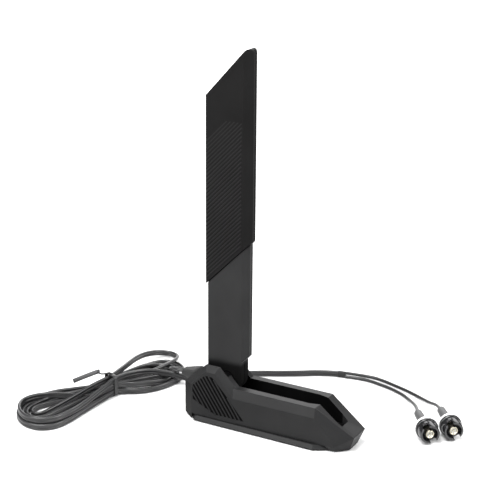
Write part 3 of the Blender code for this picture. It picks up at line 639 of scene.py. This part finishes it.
def turned(name, profile_mm, sides=48, closed=True):
    """`profile_mm` holds (height, radius) pairs from top to bottom, turned about Z."""
    mesh = bpy.data.meshes.new(name)
    edges = [(i, i + 1) for i in range(len(profile_mm) - 1)]
    if closed:
        edges.append((len(profile_mm) - 1, 0))
    mesh.from_pydata([(r * MM, 0, h * MM) for h, r in profile_mm], edges, [])
    obj = bpy.data.objects.new(name, mesh)
    bpy.context.scene.collection.objects.link(obj)
    screw = obj.modifiers.new("turn", "SCREW")
    screw.steps = screw.render_steps = sides
    screw.use_merge_vertices, screw.merge_threshold = True, 1e-6
    screw.use_smooth_shade = True
    settle(obj)
    face_outwards(obj.data)
    return obj


def seat(obj, letter):
    """Lays a piece made about Z along the plug's axis, with its top at the mouth."""
    x, y = PLUG_MOUTHS[letter]
    place = (Matrix.Translation(Vector((x, y, PLUG_HEIGHT)) * MM) @ Matrix.Rotation(PLUG_TURN, 4, "Z")
             @ Matrix.Rotation(math.pi / 2, 4, "Y"))
    return settle(obj, place)


SLEEVE = [(-10.6, 0.0), (-10.6, 3.6), (-11.0, 3.55), (-11.6, 3.1), (-12.4, 2.75), (-14.0, 2.6), (-20.0, 2.4),
          (-26.4, 2.25), (-27.1, 2.05), (-27.45, 1.6), (-27.5, 1.2), (-27.5, 0.0)]
RING = [(-8.7, 2.4), (-8.7, 5.8), (-8.85, 5.95), (-10.15, 5.95), (-10.3, 5.8), (-10.3, 2.4)]
COLLAR = [(0.0, 4.15), (0.0, 5.05), (-0.3, 5.3), (-5.9, 5.45), (-6.3, 5.5), (-6.3, 5.9), (-6.6, 6.15),
          (-6.8, 6.2), (-8.0, 6.2), (-8.2, 6.15), (-8.4, 5.95), (-8.4, 2.6), (-7.4, 2.6), (-7.4, 4.1),
          (-0.2, 4.1)]
BARREL = [(-0.4, 1.75), (-0.4, 2.1), (-0.6, 2.25), (-8.2, 2.25), (-8.2, 1.75)]
INSULATOR = [(-1.0, 0.8), (-1.0, 1.45), (-8.0, 1.45), (-8.0, 0.8)]
PIN = [(-0.7, 0.0), (-0.75, 0.25), (-1.2, 0.5), (-7.8, 0.5), (-7.8, 0.0)]
print("plug profiles:", [len(p) for p in (SLEEVE, RING, COLLAR, BARREL, INSULATOR, PIN)])


# %% Build both plugs
SLOT_TURN = math.radians(-62)
SLOT_OUTLINE = [(-1.7, 2.0), (1.7, 2.0), (1.7, -3.4), (1.2, -4.1), (0.5, -4.4), (-0.5, -4.4), (-1.2, -4.1),
                (-1.7, -3.4)]


def slot_tool():
    """A bar with a rounded bottom that cuts both slots of the skirt at once."""
    front, back = ([Vector((x, y, z)) * MM for x, z in SLOT_OUTLINE] for y in (-9, 9))
    return settle(slab("slot_tool", front, back), Matrix.Rotation(SLOT_TURN, 4, "Z"))


PLUG_PARTS = (
    ("sleeve", SLEEVE, sleeve_rubber, "sleeve_rubber"),
    ("ring", RING, ring_plastic, "ring_white"),
    ("shell", COLLAR, collar_plastic, "plug_plastic"),
    ("contact", BARREL, contact_plating, "contact_metal"),
    ("insulator", INSULATOR, insulator_plastic, "insulator_white"),
    ("pin", PIN, contact_plating, "contact_metal"),
)
plugs = {}
for letter in PLUG_MOUTHS:
    plugs[letter] = []
    for part, profile, finish, slot_name in PLUG_PARTS:
        solid = profile[0][1] == 0.0
        piece = turned(f"plug_{letter}_{part}_skin", profile, closed=not solid)
        if part == "shell":
            cut(piece, slot_tool())
            piece.data.shade_smooth()
            piece.data.set_sharp_from_angle(angle=math.radians(40))
        seat(piece, letter)
        plugs[letter].append(dress(piece, finish, replaces=(f"plug_{letter}_{part}",)))
print("plug pieces:", [p.name for p in plugs["a"]])


# %% [markdown]
# ## The base
#
# The housing is one faceted moulding. Its facets are exactly the CAD's, so a merged copy of
# the node is the cage, and a live Bevel gives the edges the small radius that a mould leaves.
# That radius is what draws the bright lines along the rim, the chamfers and the nose.
#
# Three finishes share the one moulding. The walls and the floor of the trough are near
# black as painted shade in the recess, the upright faces at the back take the darker cover
# plastic as painted shade, and the rest has the plain plastic. Each facet is sorted by its
# normal and its place.

# %% Housing and bottom plate
TROUGH_REACH, TROUGH_FLOOR_HALF = 11.0, 3.0
TROUGH_BOTTOM, TROUGH_TOP, TROUGH_FRONT = 2.0, 24.0, 40.0
PLAIN, TROUGH, REAR = 0, 1, 2
housing = soften(copy_of("base_housing", "base_housing_skin"), 0.35)
dress(housing, housing_plastic, replaces=("base_housing",))
housing.data.materials.append(painted_shade_black)
housing.data.materials.append(cover_plastic)
for facet in housing.data.polygons:
    out, place = facet.normal, facet.center / MM
    inner_wall = abs(place.y) < TROUGH_REACH and out.y * place.y < -0.5 * abs(place.y)
    inner_floor = abs(place.y) < TROUGH_FLOOR_HALF and out.z > 0.5
    in_trough = TROUGH_BOTTOM < place.z < TROUGH_TOP and place.x < TROUGH_FRONT
    # Trough facets take the near-black painted shade, and rear facets the darker cover plastic as painted
    # shade.
    if in_trough and (inner_wall or inner_floor):
        facet.material_index = TROUGH
    elif out.x < -0.4 and abs(out.z) < 0.3:
        facet.material_index = REAR
    else:
        facet.material_index = PLAIN
plate = soften(copy_of("base_plate", "base_plate_skin"), 0.4, segments=3)
dress(plate, housing_plastic, replaces=("base_plate",))
print("housing facets:", len(housing.data.polygons))

# %% [markdown]
# ## Ribbed fields
#
# Two surfaces carry fine moulded ribs: the hinge cheeks of the base, and the lower part of
# the blade's cover. A bump map would not catch the light at a grazing angle, so the ribs are
# real. Each is a low bar with a flat top, clipped to the outline of its field. The helper
# works in a flat (across, up) plane and is told how to carry that plane into space.

# %% Clip slanted lines to an outline and raise them as ribs
def clip_to_outline(origin, direction, outline):
    """The stretch of a line that lies inside a convex outline, or None."""
    low, high = -1e9, 1e9
    area = sum(a[0] * b[1] - b[0] * a[1] for a, b in zip(outline, outline[1:] + outline[:1]))
    for a, b in zip(outline, outline[1:] + outline[:1]):
        edge = (b[0] - a[0], b[1] - a[1])
        inward = (-edge[1], edge[0]) if area > 0 else (edge[1], -edge[0])
        depth = (origin[0] - a[0]) * inward[0] + (origin[1] - a[1]) * inward[1]
        rate = direction[0] * inward[0] + direction[1] * inward[1]
        if abs(rate) < 1e-9:
            if depth < 0:
                return None
        elif rate > 0:
            low = max(low, -depth / rate)
        else:
            high = min(high, -depth / rate)
    return (low, high) if high - low > 0.6 else None


RIB_ROOT, CROWN_HALF, END_SLOPE, LOWEST_RIB = -0.08, 0.24, 0.25, 0.02


def rib_field(name, outline, angle, pitch, width, height, carry, fade=None):
    """Low bars at `angle` degrees; `carry(across, up, out)` gives the place in millimetres."""
    turn = math.radians(angle)
    direction, normal = (math.cos(turn), math.sin(turn)), (-math.sin(turn), math.cos(turn))
    reach = [p[0] * normal[0] + p[1] * normal[1] for p in outline]
    verts, faces = [], []
    steps = int((max(reach) - min(reach)) / pitch)
    for number in range(1, steps + 1):
        offset = min(reach) + number * pitch
        origin = (normal[0] * offset, normal[1] * offset)
        span = clip_to_outline(origin, direction, outline)
        if span is None:
            continue
        raised = height * (fade(origin[1] + direction[1] * sum(span) / 2) if fade else 1.0)
        if raised < LOWEST_RIB:
            continue
        start = len(verts)
        for along in span:
            inwards = END_SLOPE if along == span[0] else -END_SLOPE
            for side, out in ((-0.5, RIB_ROOT), (-CROWN_HALF, raised), (CROWN_HALF, raised), (0.5, RIB_ROOT)):
                shift = along + (inwards if out > 0 else 0.0)
                across = origin[0] + direction[0] * shift + normal[0] * side * width
                up = origin[1] + direction[1] * shift + normal[1] * side * width
                verts.append(Vector(carry(across, up, out)) * MM)
        faces += [(start + i, start + i + 1, start + i + 5, start + i + 4) for i in range(3)]
        faces += [(start + 3, start, start + 4, start + 7), (start, start + 1, start + 2, start + 3),
                  (start + 4, start + 5, start + 6, start + 7)]
    obj = add_mesh(name, verts, faces, smooth=False)
    print(name, "ribs:", len(faces) // 6)
    return obj


# %% Ribs on the two hinge cheeks
CHEEK_FACE, BACKING_OUT, BACKING_IN = 13.0, 0.04, -0.06
CHEEK_FIELD = [(-44.0, 20.0), (-38.2, 25.6), (-35.6, 27.4), (-31.6, 27.4), (-24.6, 20.6), (-11.8, 6.0),
               (-30.0, 6.0), (-43.6, 12.2)]
for name, side in (("cheek_ribs_near", -1), ("cheek_ribs_far", 1)):
    ribs = rib_field(name, CHEEK_FIELD, angle=-55.5, pitch=2.09, width=1.08, height=0.42,
                     carry=lambda x, z, out, side=side: (x, side * (CHEEK_FACE + out), z))
    dress(ribs, rib_crest)
    outer, inner = ([Vector((x, side * (CHEEK_FACE + out), z)) * MM for x, z in CHEEK_FIELD]
                    for out in (BACKING_OUT, BACKING_IN))
    # The near-black sheet behind the ribs is painted shade in the grooves.
    dress(slab(name.replace("ribs", "backing"), outer, inner), painted_shade_black)

# %% [markdown]
# ## The blade
#
# The blade has a plain stem and a slightly larger cover over its upper part. Both are pairs
# of shells that meet along the middle of the edges. As on the base, merged copies of the CAD
# shells carry a live Bevel, and the cover gets its diagonal ribs on both faces. They run
# parallel to the cover's slanted lower edge and die away towards the top.

# %% Stem and cover shells
for node, finish, slot_name in (("stem_shell_near", stem_plastic, "blade_plastic"),
                                ("stem_shell_far", stem_plastic, "blade_plastic"),
                                ("blade_cover_near", cover_plastic, "cover_plastic"),
                                ("blade_cover_far", cover_plastic, "cover_plastic")):
    shell = soften(copy_of(node, f"{node}_skin"), 0.3)
    dress(shell, finish, body="blade", replaces=(node,))
print("blade shells:", 4)

# %% A tongue behind the groove between stem and cover
# Without it, daylight would show through the groove at the thin edges of the blade. Its
# near-black finish is painted shade in the groove. The groove climbs at 45 degrees from its
# lower end, so height follows x one for one.
GROOVE_END, GROOVE_END_HEIGHT = -40.2, 77.3
THICK_END, THIN_END = (-39.15, 3.6), (-15.6, 1.1)
TONGUE_BELOW, TONGUE_ABOVE = -1.2, 0.8
corners = [(*THICK_END, TONGUE_BELOW), (*THIN_END, TONGUE_BELOW), (*THIN_END, TONGUE_ABOVE),
           (*THICK_END, TONGUE_ABOVE)]
far, near = ([Vector((x, side * half, GROOVE_END_HEIGHT + x - GROOVE_END + shift)) * MM
              for x, half, shift in corners] for side in (1, -1))
dress(slab("seam_tongue", far, near), painted_shade_black, body="blade")

# %% Ribs on the cover's two faces
COVER_FACE = 4.9
FADE_TOP, FADE_LENGTH = 164.0, 26.0
COVER_FIELD = [(-39.7, 78.8), (-18.6, 99.9), (-18.6, 168.0), (-39.7, 168.0)]


def die_away(height_mm):
    return min(1.0, max(0.0, (FADE_TOP - height_mm) / FADE_LENGTH))


for name, side in (("cover_ribs_near", -1), ("cover_ribs_far", 1)):
    ribs = rib_field(name, COVER_FIELD, angle=45, pitch=1.60, width=0.86, height=0.26, fade=die_away,
                     carry=lambda x, z, out, side=side: (x, side * (COVER_FACE + out), z))
    dress(ribs, painted_light_cover_crest, body="blade")

# %% [markdown]
# ## The boot
#
# A soft rubber boot holds the cord where it leaves the base. It is wide where it plugs into
# the housing and narrows towards the cord. It is lofted through rounded rectangles like the
# split sleeve, and the last ones close in quickly to round its free end.

# %% Loft the boot
BOOT_HEIGHT = 21.1
# place along X, half width, half height and corner radius
boot_sizes = [(-47.2, 4.5, 3.4, 1.0), (-49.5, 4.3, 3.1, 1.1), (-52.0, 3.9, 2.6, 1.1), (-55.0, 3.2, 1.9, 0.9),
              (-56.4, 2.9, 1.65, 0.8), (-56.9, 2.8, 1.55, 0.7), (-57.1, 2.4, 1.2, 0.5)]
boot = loft("cable_boot_skin", [
    (Vector((x, 0, BOOT_HEIGHT)) * MM, (0, 1, 0), (0, 0, 1),
     rounded_rectangle(wide * MM, high * MM, corner * MM)) for x, wide, high, corner in boot_sizes])
dress(boot, boot_rubber, replaces=("cable_boot",))
print("boot, mm:", [round(v / MM, 1) for v in boot.dimensions])

# %% [markdown]
# ## Studio
#
# The floor is pale and plain and the light soft. A dim white world fills every shadow, and a
# large lamp above is the main light. Black plastic shows what it mirrors, so the others are
# placed by mirror direction: `edge_lamp` draws the pale line down the blade's edge,
# `front_box` lights the long chamfer, `nose_box` the nose, and `rear_box` the top facets.
# Far from the object no lamp reaches the floor. There a glow that grows with distance keeps
# the background as pale as the rest.

# %% Floor, lamps and world
FLOOR_REACH = 6.0
floor = add_mesh("studio_floor", [(x * FLOOR_REACH, y * FLOOR_REACH, 0)
                                  for x, y in ((-1, -1), (1, -1), (1, 1), (-1, 1))],
                 [(0, 1, 2, 3)], smooth=False)
floor_paint = bpy.data.materials.new("floor_paint")
floor_paint.use_nodes = True
paint, paint_links = floor_paint.node_tree.nodes, floor_paint.node_tree.links
floor_shader = paint["Principled BSDF"]
floor_shader.inputs["Base Color"].default_value = (0.62, 0.62, 0.62, 1)
floor_shader.inputs["Roughness"].default_value = 0.9
floor_shader.inputs["Emission Strength"].default_value = 1.0
floor_place, floor_reach = paint.new("ShaderNodeTexCoord"), paint.new("ShaderNodeVectorMath")
floor_glow = paint.new("ShaderNodeMapRange")
floor_reach.operation = "LENGTH"
floor_glow.inputs["From Min"].default_value, floor_glow.inputs["From Max"].default_value = 0.6, 1.4
paint_links.new(floor_place.outputs["Object"], floor_reach.inputs[0])
paint_links.new(floor_reach.outputs["Value"], floor_glow.inputs["Value"])
paint_links.new(floor_glow.outputs["Result"], floor_shader.inputs["Emission Color"])
floor.data.materials.append(floor_paint)

world = bpy.data.worlds.new("studio_white")
world.use_nodes = True
world.node_tree.nodes["Background"].inputs["Color"].default_value = (1, 1, 1, 1)
world.node_tree.nodes["Background"].inputs["Strength"].default_value = 0.16
bpy.context.scene.world = world

# name, place, side of the square and power
LAMPS = (
    ("top_lamp", (-0.1, -0.7, 1.8), 1.0, 60),
    ("right_lamp", (1.4, 0.35, 1.1), 0.8, 30),
    ("edge_lamp", (0.62, 0.14, 0.24), 0.22, 0.7),
    ("back_lamp", (0.3, 1.7, 1.5), 1.2, 16),
    ("front_box", (-0.55, -0.95, 0.8), 0.8, 17),
    ("nose_box", (1.1, -0.6, 0.7), 0.6, 7),
    ("rear_box", (-0.55, 1.1, 0.5), 0.8, 7),
)
LIT_PLACE = Vector((0, 0, 0.05))
EDGE_LIT_PLACE = Vector((0.03, 0, 0.05))
for name, place, size, power in LAMPS:
    light = bpy.data.lights.new(name, "AREA")
    light.shape, light.size, light.energy = "SQUARE", size, power
    lamp = bpy.data.objects.new(name, light)
    bpy.context.scene.collection.objects.link(lamp)
    lamp.location = Vector(place)
    lamp.rotation_mode = "QUATERNION"
    target = EDGE_LIT_PLACE if name == "edge_lamp" else LIT_PLACE
    lamp.rotation_quaternion = (target - Vector(place)).to_track_quat("-Z", "Y")
bpy.context.scene.view_settings.view_transform = "Standard"
